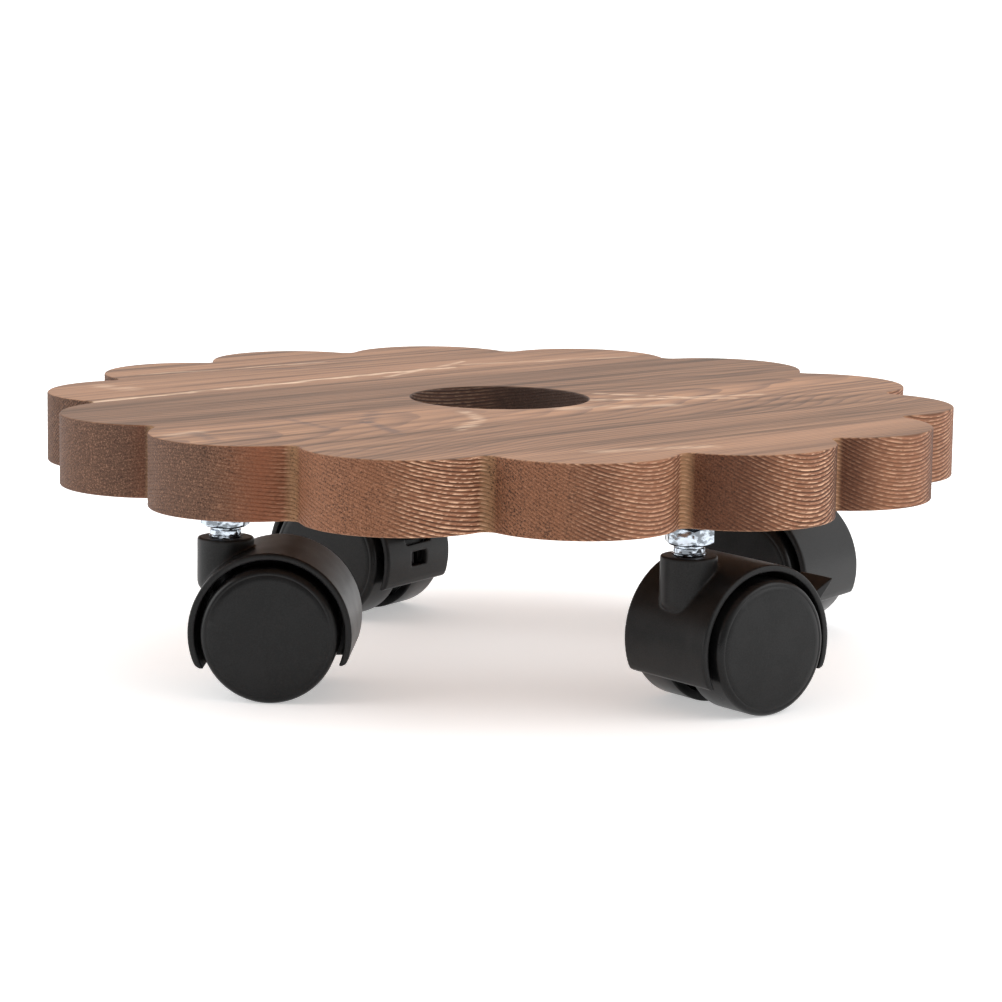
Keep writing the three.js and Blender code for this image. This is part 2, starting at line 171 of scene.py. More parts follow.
# ---- the casters, in millimetres and degrees; heights are above the axle ----
GAP = 0.3                   # between parts that move on each other
WHEEL_RADIUS = 20.0
WHEEL_INNER = 5.1           # from the caster's middle plane to a wheel's inner side
WHEEL_CROWN = 20.7          # and to the middle of its face
WHEEL_DOME = 0.32           # how much the face falls from there to its rim
WHEEL_RIM = 1.7             # width of the smooth shoulder round the face
WHEEL_FLOOR = 18.1          # the inner side of the face
WHEEL_WALL = 2.6            # the tread's and the bearing's
FACE_RADIUS = 17.9          # the grained part of the face
AXLE_RADIUS = 2.4
HOOD_RADIUS = 24.0
HOOD_WALL = 2.05
HOOD_HALF_WIDTH = 17.9
HOOD_EDGE = 0.5             # radius of the edges of the hood and its barrel
WEB_HALF = 1.2
# the hood's lower edge in side view: X along the way the caster trails, and height
HOOD_SKIRT = [(23, -6.8), (22.3, -8.2), (21.1, -8.8), (-20.5, -10.5), (-21.7, -9.8), (-22.5, -8.4)]
TRAIL = 15.0
BARREL_RADIUS = 8.35
BARREL_BOTTOM = 9.3
BARREL_TOP = 25.8
BARREL_FOOT_ROUND = 3.5
JOURNAL_RADIUS = 4.0
JOURNAL_BORE_BOTTOM = 19.0
PIN_RADIUS = 3.0
PIN_BORE_BOTTOM = 11.3
SOCKET_WALL = 1.6           # of the boss round the stem's pin
SOCKET_BOTTOM = 9.8

LEVER_HALF_WIDTH = 6.75
LEVER_PIVOT = (16.0, 8.4)
LEVER_BORE_RADIUS = 1.55
# side view of the pedal: X, height and radius of each corner
PEDAL = [(20.3, 6.6, 0), (23.1, 6.7, 3), (27, 7.4, 4), (30.8, 9.3, 4), (35.4, 14.5, 0.3),
         (35.65, 15.3, 0.25), (29.3, 12, 6), (25.5, 10.3, 6), (22.3, 9.7, 3), (18.9, 9.9, 0)]
SHOE_RADIUS = 20.85
SHOE_LOW, SHOE_HIGH = 10, 26          # the shoe's reach round the treads, in degrees
SHOE_THICKNESS = 0.8
ARM_END = 2.5                         # radius of the arms round their pin
SLOT_LOW, SLOT_HIGH = 12, 30          # the lever's slot in the hood, in degrees above the horizontal
SLOT_SLANT = 7                        # how much lower it is on the inside
WINDOW_HALF_WIDTH = 4.3
WINDOW_HALF_HEIGHT = 2.3
# size of the voxels from which the hood and the lever are rebuilt
HOOD_VOXEL, LEVER_VOXEL = ((0.36, 0.2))

# ---- the stems and inserts, in millimetres; heights are above the floor ----
# the shaft under the thread, from the bottom up: radius and height
SHAFT = [(0, 31.6), (2.5, 31.6), (3, 32.1), (3, 39.3), (4, 39.3), (4, 41.3), (3.3, 41.3), (3.3, 42.9),
         (4, 42.9), (4, 46.1), (4.8, 46.1), (4.9, 46.2), (4.9, 46.5), (4.8, 46.6), (4.6, 46.7),
         (4.6, 48.0), (4.5, 48.1), (4.0, 48.15), (4.0, 48.5), (4.4, 48.55), (4.4, 49.3), (4.0, 49.6)]
HEX_BOTTOM = 49.0
HEX_TOP = 54.2
HEX_FLAT = 6.5              # from its axis to a flat
HEX_TURNS = {1: 9, 2: 0, 3: 25, 4: -12}    # of each stem's hexagon, in degrees from the caddy's X
THREAD_BOTTOM = 55.0
THREAD_TOP = 71.0
THREAD_PITCH = 1.25
THREAD_ROOT, THREAD_CREST = 3.45, 3.98
INSERT_BORE = 4.3
INSERT_DEPTH = 12.9         # into the board
INSERT_PITCH = 2.2
INSERT_ROOT, INSERT_CREST = 5.0, 5.6
FLANGE_RADIUS = 8.4
FLANGE_THICKNESS = 1.3
NOTCH_WIDTH = 3.4           # of the four notches for a key in the flange

# ---- the stage ----
CAMERA_PLACE = (0.02418, -1.05757, 0.21688)     # in metres
CAMERA_ANGLES = (9.054, -1.261, 0.847)          # in degrees: down, to the right of +Y, leaning left
CAMERA_LENS, CAMERA_SENSOR = 123.95, 36         # in millimetres
# from where each sun shines, and how strongly
SUNS = {"soft_right": ((0.9, -0.35, 0.6), 1.1), "soft_left": ((-1.0, -0.15, 0.5), 1.15)}
SUN_SPREAD = 50                                 # in degrees
# linear greys of the studio's light and of the floor's clouds
STUDIO_BACK, STUDIO_FRONT = (1.15, 1.15, 1.15), (0.42, 0.42, 0.42)
FLOOR_GREYS = (0.91, 0.91, 0.91), (0.93, 0.93, 0.93)


# ---- node helpers ----
def node(tree, kind, inputs=None, **settings):
    """A new node. An input given as a socket is linked, anything else is its value."""
    made = tree.nodes.new(kind)
    for key, value in settings.items():
        setattr(made, key, value)
    for key, value in (inputs or {}).items():
        if isinstance(value, bpy.types.NodeSocket):
            tree.links.new(value, made.inputs[key])
        else:
            made.inputs[key].default_value = value
    return made


def math_of(tree, operation, a, b=0.0, c=None, clamp=False):
    inputs = {0: a, 1: b}
    if c is not None:
        inputs[2] = c
    return node(tree, "ShaderNodeMath", inputs, operation=operation, use_clamp=clamp).outputs[0]


def product(tree, *factors):
    result = factors[0]
    for factor in factors[1:]:
        result = math_of(tree, "MULTIPLY", result, factor)
    return result


def vector_of(tree, operation, a, b):
    made = node(tree, "ShaderNodeVectorMath", {0: a, 1: b}, operation=operation)
    return made.outputs["Value" if operation in ("DOT_PRODUCT", "DISTANCE") else "Vector"]


def between(tree, value, low, high):
    """0 below low, 1 above high and a smooth rise from one to the other."""
    made = node(tree, "ShaderNodeMapRange", {"Value": value, "From Min": low, "From Max": high},
                interpolation_type="SMOOTHSTEP")
    return made.outputs["Result"]


def mixed(tree, factor, a, b, blend="MIX"):
    """Colour a where factor is 0 and b where it is 1."""
    made = node(tree, "ShaderNodeMix", data_type="RGBA", blend_type=blend, clamp_factor=True)
    for index, value in ((0, factor), (6, a), (7, b)):
        if isinstance(value, bpy.types.NodeSocket):
            tree.links.new(value, made.inputs[index])
        elif index:
            made.inputs[index].default_value = (*value, 1)
        else:
            made.inputs[index].default_value = value
    return made.outputs[2]


def ramp(tree, factor, stops):
    """A grey level that follows stops of position and level."""
    made = node(tree, "ShaderNodeValToRGB", {"Fac": factor})
    elements = made.color_ramp.elements
    while len(elements) < len(stops):
        elements.new(0.5)
    for element, (position, level) in zip(elements, stops):
        element.position = position
        element.color = (level, level, level, 1)
    return made.outputs["Color"]


def level_along(tree, place, stops):
    """A grey level that follows stops of millimetres and level, along a coordinate in metres."""
    low, high = stops[0][0], stops[-1][0]
    share = node(tree, "ShaderNodeMapRange",
                 {"Value": place, "From Min": low * MM, "From Max": high * MM}).outputs["Result"]
    return ramp(tree, share, [((where - low) / (high - low), level) for where, level in stops])


def noise_of(tree, vector, scale, detail=2.0, rough=0.5, stretch=(1, 1, 1)):
    """Noise of features 1/scale metres wide, drawn out by stretch."""
    if stretch != (1, 1, 1):
        vector = node(tree, "ShaderNodeMapping", {"Vector": vector, "Scale": stretch}).outputs[0]
    settings = {"Vector": vector, "Scale": scale, "Detail": detail, "Roughness": rough}
    return node(tree, "ShaderNodeTexNoise", settings).outputs["Fac"]


def bump_of(tree, height, depth, normal=None):
    """Relief of height 0 to 1, which is depth millimetres deep."""
    inputs = {"Height": height, "Distance": depth * MM, "Strength": 1.0}
    if normal is not None:
        inputs["Normal"] = normal
    return node(tree, "ShaderNodeBump", inputs).outputs["Normal"]


def new_material(name, **values):
    """A material, its node tree and its Principled shader with these values on its sockets."""
    material = bpy.data.materials.new(name)
    material.use_nodes = True
    tree = material.node_tree
    shader = tree.nodes["Principled BSDF"]
    for key, value in values.items():
        shader.inputs[key.replace("_", " ")].default_value = value
    return material, tree, shader


# ---- materials ----
def stroke(tree, spot, start, stop, width):
    """1 along the middle of a stroke from start to stop, and 0 beyond its width."""
    origin = Vector((*start, 0)) * MM
    way = Vector((*stop, 0)) * MM - origin
    off = vector_of(tree, "SUBTRACT", spot, origin)
    share = vector_of(tree, "DOT_PRODUCT", off, way / way.length_squared)
    share = math_of(tree, "ADD", share, 0.0, clamp=True)
    along = node(tree, "ShaderNodeVectorMath", {0: way, "Scale": share}, operation="SCALE").outputs[0]
    return between(tree, vector_of(tree, "DISTANCE", off, along), width * MM, 0.15 * width * MM)


class WoodFields:
    """What the wood's colours are drawn from: where a point lies, its growth ring, and noise."""

    def __init__(self, tree):
        self.place = node(tree, "ShaderNodeTexCoord").outputs["Object"]
        turn = (0, 0, -math.radians(GRAIN_ANGLE))
        self.grained = node(tree, "ShaderNodeMapping",
                            {"Vector": self.place, "Rotation": turn}).outputs["Vector"]
        axes = node(tree, "ShaderNodeSeparateXYZ", {"Vector": self.grained})
        self.along, self.across = axes.outputs["X"], axes.outputs["Y"]

        facing = node(tree, "ShaderNodeNewGeometry").outputs["Normal"]
        self.endwise = math_of(tree, "ABSOLUTE", vector_of(tree, "DOT_PRODUCT", facing, GRAIN))
        self.end_grain = between(tree, self.endwise, END_FROM, END_TO)
        facing_up = node(tree, "ShaderNodeSeparateXYZ", {"Vector": facing}).outputs["Z"]
        self.top = between(tree, math_of(tree, "ABSOLUTE", facing_up), TOP_FROM, TOP_TO)
        self.flank = math_of(tree, "SUBTRACT", 1.0, self.top)

        rings, self.valley, self.bore = (
            node(tree, "ShaderNodeAttribute", attribute_name=name).outputs["Fac"]
            for name in ("rings", "valley", "bore"))
        self.ring_share = math_of(tree, "FRACT", rings)
        number = math_of(tree, "FLOOR", rings)
        self.ring_chance = node(tree, "ShaderNodeTexWhiteNoise", {"W": number},
                                noise_dimensions="1D").outputs["Value"]
        latewood = ramp(tree, self.ring_share, LATEWOOD_LEVELS)
        strength = math_of(tree, "MULTIPLY_ADD", self.ring_chance, 0.45, 0.55)
        self.latewood = product(tree, latewood, strength)

        self.fibres = noise_of(tree, self.grained, 1.0, 4, 0.65, FIBRES)
        self.cords = noise_of(tree, self.grained, 1.0, 3, 0.6, CORDS)
        self.clouds = noise_of(tree, self.grained, 1.0, 3, 0.55, CLOUDS)
        self.patches = noise_of(tree, self.place, PATCHES, 3, 0.6)


def pit_share(tree, wood):
    """1 in small dark pits, which are drawn out along the grain and lie in groups."""
    place = node(tree, "ShaderNodeMapping", {"Vector": wood.grained, "Scale": PITS}).outputs["Vector"]
    pits = node(tree, "ShaderNodeTexVoronoi", {"Vector": place, "Scale": 1.0, "Randomness": 1.0})
    chance = node(tree, "ShaderNodeSeparateColor", {"Color": pits.outputs["Color"]}).outputs[0]
    small = between(tree, pits.outputs["Distance"], 0.46, 0.2)
    return product(tree, small, between(tree, chance, 0.42, 0.55),
                   between(tree, wood.patches, 0.35, 0.6))


def side_colour(tree, wood):
    """Edges with the grain: deep brown latewood grooves with painted shade in them, between crests that
    carry a painted golden highlight broken into dashes.

    Gives the colour, and how deep a point lies in a groove, which sets both the relief and the painted
    shade in the groove.
    """
    groove = ramp(tree, wood.ring_share, GROOVE_LEVELS)
    crest = ramp(tree, wood.ring_share, CREST_LEVELS)
    dashes = noise_of(tree, wood.grained, 1.0, 2, 0.6, DASHES)
    brushed = level_along(tree, wood.along, BRUSHED)
    # painted golden highlight along the ring crests, broken into dashes
    painted_crest_highlight = product(tree, between(tree, dashes, 0.44, 0.62), product(tree, crest, brushed))
    colour = mixed(tree, painted_crest_highlight, mixed(tree, wood.cords, *SIDE_BROWN), CREST_PAINTED_HIGHLIGHT)
    # how much painted shade lies in a groove, and how deep its relief is
    deep = product(tree, groove, math_of(tree, "MULTIPLY_ADD", wood.ring_chance, 0.25, 0.75))
    deep = product(tree, deep, math_of(tree, "POWER", brushed, 0.5))
    colour = mixed(tree, deep, colour, LATEWOOD_GROOVE_SHADE)
    red = mixed(tree, wood.fibres, *SIDE_RED)
    return mixed(tree, between(tree, wood.along, RED_FROM * MM, RED_TO * MM), colour, red), deep


def end_colour(tree, wood):
    """Edges across the grain: warm on one side of the board and greyer on the other, with specks."""
    specks = noise_of(tree, wood.place, SPECKS, 3, 0.6)
    grey = between(tree, wood.across, GREY_FROM * MM, GREY_TO * MM)
    colour = mixed(tree, grey, mixed(tree, wood.patches, *END_WARM),
                   mixed(tree, wood.patches, *END_GREY))
    colour = mixed(tree, product(tree, wood.latewood, 0.26), colour, END_LATEWOOD)
    colour = mixed(tree, product(tree, between(tree, specks, 0.53, 0.67), 0.55), colour, PALE_SPECK)
    return mixed(tree, product(tree, between(tree, specks, 0.47, 0.34), 0.80), colour, DARK_SPECK)


def top_colour(tree, wood):
    """Both flat faces: rings, long streaks, broad bands, and single pale and dark strokes."""
    earlywood = mixed(tree, wood.clouds, *TOP_EARLYWOOD)
    latewood = mixed(tree, wood.clouds, *TOP_LATEWOOD)
    colour = mixed(tree, product(tree, wood.latewood, 0.70), earlywood, latewood)
    streaks = noise_of(tree, wood.grained, 1.0, 3, 0.6, STREAKS)
    streaks = ramp(tree, streaks, STREAK_LEVELS)
    colour = mixed(tree, 0.75, colour, streaks, "MULTIPLY")
    place = math_of(tree, "ADD", wood.across, product(tree, wood.along, BAND_TILT))
    wander = math_of(tree, "MULTIPLY_ADD", wood.clouds, BAND_WANDER * MM, -BAND_WANDER / 2 * MM)
    place = math_of(tree, "ADD", place, wander)
    colour = mixed(tree, 1.0, colour, level_along(tree, place, BANDS), "MULTIPLY")

    waver = node(tree, "ShaderNodeTexNoise", {"Vector": wood.place, "Scale": 60.0, "Detail": 2.0})
    waver = vector_of(tree, "SUBTRACT", waver.outputs["Color"], (0.5, 0.5, 0.5))
    waver = vector_of(tree, "MULTIPLY", waver, (STROKE_WAVER * MM, STROKE_WAVER * MM, 0))
    spot = vector_of(tree, "MULTIPLY", vector_of(tree, "ADD", wood.place, waver), (1, 1, 0))
    broken = between(tree, noise_of(tree, wood.grained, 1.0, 3, 0.6, STROKE_BREAKS), 0.32, 0.58)
    for strokes, tint in ((PALE_STROKES, PALE_STREAK), (DARK_STROKES, DARK_STREAK)):
        for start, stop, width, strength in strokes:
            amount = product(tree, stroke(tree, spot, start, stop, width), strength, broken)
            colour = mixed(tree, amount, colour, tint)
    return colour


def wood_material():
    """Brushed, heat-treated softwood: growth rings, fibres, darker end grain, pale streaks."""
    material, tree, shader = new_material("heat_treated_softwood", Specular_IOR_Level=0.2)
    wood = WoodFields(tree)
    side, deep = side_colour(tree, wood)
    edge = mixed(tree, wood.end_grain, side, end_colour(tree, wood))
    outermost = product(tree, between(tree, wood.endwise, OUTERMOST_END_FROM, OUTERMOST_END_TO),
                        between(tree, wood.across, OUTERMOST_FROM * MM, OUTERMOST_TO * MM))
    edge = mixed(tree, product(tree, outermost, 0.85), edge, OUTERMOST_TINT, "MULTIPLY")
    in_valley = product(tree, math_of(tree, "POWER", wood.valley, 2.0), 0.55)
    edge = mixed(tree, in_valley, edge, mixed(tree, wood.cords, *VALLEY_WOOD))

    colour = mixed(tree, wood.top, edge, top_colour(tree, wood))
    # the bore darkened: partly its darker wood, partly painted shade of the deep hole
    colour = mixed(tree, product(tree, wood.bore, 0.80), colour, BORE_WOOD_AND_SHADE)
    shade = ramp(tree, wood.fibres, FIBRE_LEVELS)
    colour = mixed(tree, 0.8, colour, shade, "MULTIPLY")
    fleck = product(tree, pit_share(tree, wood), product(tree, wood.flank, wood.end_grain))
    colour = mixed(tree, product(tree, fleck, 0.8), colour, PIT_WOOD)
    tree.links.new(colour, shader.inputs["Base Color"])

    rough = math_of(tree, "MULTIPLY_ADD", wood.fibres, 0.25, 0.50)
    tree.links.new(rough, shader.inputs["Roughness"])
    relief = bump_of(tree, product(tree, math_of(tree, "SUBTRACT", 1.0, deep), wood.flank), 0.22)
    relief = bump_of(tree, wood.fibres, 0.05, relief)
    relief = bump_of(tree, math_of(tree, "SUBTRACT", 1.0, fleck), 0.12, relief)
    tree.links.new(relief, shader.inputs["Normal"])
    return material


def scaled(colour, factor):
    return [level * factor for level in colour]


def plastic_material(name, colour, roughness, grain_scale, grain_depth):
    """Moulded black nylon with a fine spark-eroded grain, paler on its sharp edges: partly where they
    have been rubbed, partly as a painted edge highlight.
    """
    material, tree, shader = new_material(name, Specular_IOR_Level=0.22)
    place = node(tree, "ShaderNodeTexCoord").outputs["Object"]
    grain = noise_of(tree, place, grain_scale, 3, 0.6)
    clouds = noise_of(tree, place, 120, 3, 0.5)
    pointed = node(tree, "ShaderNodeNewGeometry").outputs["Pointiness"]
    # paler sharp edges: partly rubbed, partly a painted edge highlight
    rubbed_edge_and_highlight = product(tree, between(tree, pointed, 0.52, 0.62), 0.5)
    mottle = math_of(tree, "ADD", product(tree, clouds, 0.4), product(tree, grain, 0.6))
    base = mixed(tree, between(tree, mottle, 0.38, 0.62), scaled(colour, 0.6), scaled(colour, 1.45))
    base = mixed(tree, rubbed_edge_and_highlight, base, scaled(colour, 2.6))
    tree.links.new(base, shader.inputs["Base Color"])
    rough = math_of(tree, "MULTIPLY_ADD", clouds, 0.14, roughness - 0.07)
    tree.links.new(rough, shader.inputs["Roughness"])
    tree.links.new(bump_of(tree, grain, grain_depth), shader.inputs["Normal"])
    return material


def metal_material(name, colour, roughness, stretch, wave_depth):
    """Plated or drawn steel with darker clouds painted in as dark reflections, shallow waves, and faint
    marks round or along it.
    """
    material, tree, shader = new_material(name, Metallic=1.0)
    place = node(tree, "ShaderNodeTexCoord").outputs["Object"]
    marks = noise_of(tree, place, 1.0, 3, 0.6, stretch)
    # the darker clouds are painted dark reflections in the base colour
    clouds = between(tree, noise_of(tree, place, 330, 3, 0.6, (1, 1, 2)), 0.42, 0.58)
    tree.links.new(mixed(tree, clouds, scaled(colour, 0.3), colour), shader.inputs["Base Color"])
    rough = math_of(tree, "MULTIPLY_ADD", marks, 0.16, roughness - 0.08)
    tree.links.new(rough, shader.inputs["Roughness"])
    waves = noise_of(tree, place, 300, 1, 0.5)
    relief = bump_of(tree, marks, 0.02, bump_of(tree, waves, wave_depth))
    tree.links.new(relief, shader.inputs["Normal"])
    return material


# ---- mesh helpers ----
def mesh_of(name, points, faces):
    mesh = bpy.data.meshes.new(name)
    mesh.from_pydata([tuple(point) for point in points], [], faces)
    mesh.validate()
    mesh.update()
    return mesh


def arc(radius, start, stop, steps, centre=(0, 0)):
    """Points on an arc, angles in degrees."""
    angles = np.radians(np.linspace(start, stop, steps + 1))
    return [(centre[0] + radius * math.cos(a), centre[1] + radius * math.sin(a)) for a in angles]


def rounded(corners, closed=True, steps=4):
    """A polyline whose corners (x, y, radius) are rounded."""
    points = []
    count = len(corners)
    for i, (x, y, radius) in enumerate(corners):
        if not radius or (not closed and i in (0, count - 1)):
            points.append((x, y))
            continue
        here = Vector((x, y))
        before = (Vector(corners[i - 1][:2]) - here).normalized()
        after = (Vector(corners[(i + 1) % count][:2]) - here).normalized()
        half = before.angle(after) / 2
        reach = radius / math.tan(half)
        middle = here + (before + after).normalized() * (radius / math.sin(half))
        first, last = here + before * reach - middle, here + after * reach - middle
        start = math.atan2(first.y, first.x)
        sweep = (math.atan2(last.y, last.x) - start + math.pi) % (2 * math.pi) - math.pi
        for k in range(steps + 1):
            a = start + sweep * k / steps
            points.append((middle.x + radius * math.cos(a), middle.y + radius * math.sin(a)))
    return points


def turned(profile, segments, closed=False):
    """A profile of (radius, height) turned about Z. It starts and ends on the axis, or is closed."""
    points, rows, faces = [], [], []
    for radius, height in profile:
        if radius < 1e-6:
            rows.append([len(points)] * segments)
            points.append((0, 0, height))
            continue
        rows.append(list(range(len(points), len(points) + segments)))
        for k in range(segments):
            a = 2 * math.pi * k / segments
            points.append((radius * math.cos(a), radius * math.sin(a), height))
    pairs = list(zip(rows, rows[1:]))
    if closed:
        pairs.append((rows[-1], rows[0]))
    for low, high in pairs:
        for k in range(segments):
            n = (k + 1) % segments
            corners = [low[k], low[n], high[n], high[k]]
            face = [c for i, c in enumerate(corners) if c != corners[i - 1]]
            if len(face) > 2:
                faces.append(face)
    return mesh_of("turned", points, faces)


def extruded(outline, low, high):
    """An outline in XY as a solid from low to high."""
    count = len(outline)
    points = [(x, y, low) for x, y in outline] + [(x, y, high) for x, y in outline]
    faces = [list(range(count))[::-1], list(range(count, 2 * count))]
    for i in range(count):
        n = (i + 1) % count
        faces.append([i, n, count + n, count + i])
    return mesh_of("extruded", points, faces)


TO_AXLE = Matrix.Rotation(-math.pi / 2, 4, "X")           # what stands up now lies along Y
TO_SIDE = Matrix.Rotation(math.pi / 2, 4, "X")            # an XY outline now stands in XZ


def moved(mesh, matrix):
    """The same mesh, transformed in place."""
    mesh.transform(matrix)
    return mesh


def on_axle(radius, half, segments):
    """A cylinder on the axle, from -half to half."""
    outline = [(0, -half), (radius, -half), (radius, half), (0, half)]
    return moved(turned(outline, segments), TO_AXLE)


def upright(radius, low, high, segments):
    """A cylinder on the swivel's axis, in the caster's frame."""
    outline = [(0, low), (radius, low), (radius, high), (0, high)]
    return moved(turned(outline, segments), Matrix.Translation((-TRAIL, 0, 0)))


def slab(outline, half):
    """An outline in the caster's side plane, from -half to half along the axle."""
    return moved(extruded(outline, -half, half), TO_SIDE)


def helper(mesh):
    """A passing object for boolean and remesh steps."""
    thing = bpy.data.objects.new("helper", mesh)
    bpy.context.scene.collection.objects.link(thing)
    return thing


def outward(mesh):
    """Turns a closed mesh's faces outward."""
    work = bmesh.new()
    work.from_mesh(mesh)
    bmesh.ops.recalc_face_normals(work, faces=work.faces)
    work.to_mesh(mesh)
    work.free()
    return mesh


def applied(thing):
    """The mesh of an object after its modifiers. The object itself is removed."""
    graph = bpy.context.evaluated_depsgraph_get()
    mesh = bpy.data.meshes.new_from_object(thing.evaluated_get(graph))
    bpy.data.objects.remove(thing)
    return mesh


def combined(mesh, tools, operation):
    """A mesh joined with each tool (UNION), cut by it (DIFFERENCE) or kept inside it (INTERSECT)."""
    body = helper(outward(mesh))
    others = [helper(outward(tool)) for tool in tools]
    for other in others:
        step = body.modifiers.new("step", "BOOLEAN")
        step.operation = operation
        step.object = other
        step.solver = "MANIFOLD"
    result = applied(body)
    for other in others:
        bpy.data.objects.remove(other)
    return result


def moulded(mesh, voxel, passes):
    """The mesh rebuilt from fine voxels and smoothed, so every edge and joint gets its small radius."""
    body = helper(mesh)
    remesh = body.modifiers.new("remesh", "REMESH")
    remesh.mode = "VOXEL"
    remesh.voxel_size = voxel
    smooth = body.modifiers.new("smooth", "SMOOTH")
    smooth.factor = 0.5
    smooth.iterations = passes
    return applied(body)


# ---- pieces ----
def piece(name, mesh, materials, body, nodes, sharp=None):
    """Places a finished mesh, in millimetres in the caddy's frame, for the CAD nodes it stands for."""
    mesh.transform(Matrix.Scale(MM, 4))
    mesh.name = name
    mesh.shade_smooth()
    if sharp:
        mesh.set_sharp_from_angle(angle=math.radians(sharp))
    mesh.materials.clear()
    for material in materials:
        mesh.materials.append(material)
    thing = bpy.data.objects.new(name, mesh)
    bpy.context.scene.collection.objects.link(thing)
    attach(thing, body)
    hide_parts(*nodes)
    return thing


# ---- the board ----
def board_outline():
    """Points round the board with their outward directions and how deep in a valley they lie."""
    step = 2 * math.pi / PETALS
    centre = BOARD_RADIUS - PETAL_RADIUS
    reach = PETAL_RADIUS + VALLEY_FILLET
    offset = centre * math.sin(step / 2)
    fillet_centre = centre * math.cos(step / 2) + math.sqrt(reach ** 2 - offset ** 2)
    to_fillet = (fillet_centre * math.cos(step / 2) - centre, fillet_centre * math.sin(step / 2))
    petal_half = math.atan2(to_fillet[1], to_fillet[0])
    valley_half = petal_half - step / 2
    petal_count = FACE_EVERY * round(2 * petal_half * PETAL_RADIUS / OUTLINE_STEP / FACE_EVERY)
    valley_count = FACE_EVERY * round(2 * valley_half * VALLEY_FILLET / VALLEY_STEP / FACE_EVERY)
    places, ways, depths = [], [], []
    for i in range(PETALS):
        turn = i * step
        hub = Vector((math.cos(turn), math.sin(turn))) * centre
        for k in range(petal_count):
            a = turn - petal_half + 2 * petal_half * k / petal_count
            way = Vector((math.cos(a), math.sin(a)))
            places.append(hub + way * PETAL_RADIUS)
            ways.append(way)
            depths.append(0.0)
        mid = turn + step / 2
        hub = Vector((math.cos(mid), math.sin(mid))) * fillet_centre
        for k in range(valley_count):
            share = k / valley_count
            a = mid + math.pi + valley_half - 2 * valley_half * share
            way = Vector((math.cos(a), math.sin(a)))
            places.append(hub + way * VALLEY_FILLET)
            ways.append(-way)
            depths.append(math.sin(math.pi * share) ** 0.5)
    return np.array(places), np.array(ways), np.array(depths)


def ring_count(point):
    """How many growth rings lie between the pith and a point of the board."""
    along = point.dot(GRAIN)
    across = point.dot(ACROSS)
    depth = BOARD_HIGH.z - point.z
    outward_by = math.hypot(across - PITH_ACROSS, PITH_DEPTH + PITH_DIP * along - depth) - PITH_DEPTH
    for height, lengths, offset in RING_WAVES:
        place = [where / length + start
                 for where, length, start in zip((along, across, depth), lengths, offset)]
        outward_by += height * noise.noise(Vector(place))
    return -math.log(1 - RING_NARROWING / RING_WIDTH * outward_by) / RING_NARROWING


def board_loops():
    """The rings of points that the board's skin is woven from, down its side and back up its bore.

    Each is its points in XY, its height, how deep in a valley they lie, whether they are in the
    bore, how strong the brushed relief is, and the outward directions that the relief sinks from.
    """
    places, ways, depths = board_outline()
    high, low = BOARD_HIGH.z - SKIN, BOARD_LOW.z + SKIN
    straight = high - low - 2 * EDGE_ROUND
    corners = [(EDGE_ROUND * (1 - math.cos(a)), EDGE_ROUND * (1 - math.sin(a)))
               for a in map(math.radians, EDGE_ANGLES)]
    loops = []

    def face_loops(height, steps, inward):
        outer = (places - ways * (EDGE_ROUND + FACE_INSET))[::FACE_EVERY]
        radius = np.hypot(outer[:, 0], outer[:, 1])[:, None]
        inner = outer / radius * (HOLE_RADIUS + EDGE_ROUND)
        shares = np.linspace(0, 1, steps + 1)
        for share in shares if inward else shares[::-1]:
            loops.append((outer + (inner - outer) * share, height, 0.0, 0.0, 0.0, None))

    def side_loop(inset, height, ridge):
        loops.append((places - ways * (inset + SKIN), height, depths, 0.0, ridge, ways))

    def bore_loop(inset, height, ridge):
        loops.append((rim_ways * (HOLE_RADIUS + inset), height, 0.0, 1.0, ridge, -rim_ways))

    face_loops(high, TOP_LOOPS, False)
    rim = loops[0][0]
    rim_ways = rim / np.hypot(rim[:, 0], rim[:, 1])[:, None]
    for inset, drop in corners[::-1]:
        side_loop(inset, high - drop, EDGE_RIDGES)
    for k in range(1, SIDE_ROWS):
        side_loop(0, high - EDGE_ROUND - straight * k / SIDE_ROWS, 1.0)
    for inset, rise in corners:
        side_loop(inset, low + rise, EDGE_RIDGES)
    face_loops(low, UNDERSIDE_LOOPS, True)
    # the flat faces already end on the rim of the hole, so its edges leave out their last corner
    for inset, rise in corners[-2::-1]:
        bore_loop(inset, low + rise, RIM_RIDGES)
    for k in range(1, BORE_ROWS):
        bore_loop(0, low + EDGE_ROUND + straight * k / BORE_ROWS, 1.0)
    for inset, drop in corners[:-1]:
        bore_loop(inset, high - drop, RIM_RIDGES)
    return loops


def woven(starts, counts):
    """Faces between each loop and the next, and between the last and the first.

    Where one loop has FACE_EVERY times the points of the other, a face takes that many steps on it.
    """
    faces = []
    for k, start in enumerate(starts):
        n = (k + 1) % len(starts)
        after, here_count, there_count = starts[n], counts[k], counts[n]
        if here_count == there_count:
            for i in range(here_count):
                j = (i + 1) % here_count
                faces.append([start + i, start + j, after + j, after + i])
            continue
        widening = here_count < there_count
        few, many = (start, after) if widening else (after, start)
        coarse, fine = sorted((here_count, there_count))
        for i in range(coarse):
            j = (i + 1) % coarse
            finer = [many + (FACE_EVERY * i + s) % fine for s in range(FACE_EVERY + 1)]
            face = [few + i, few + j, *finer[::-1]]
            faces.append(face if widening else face[::-1])
    return faces


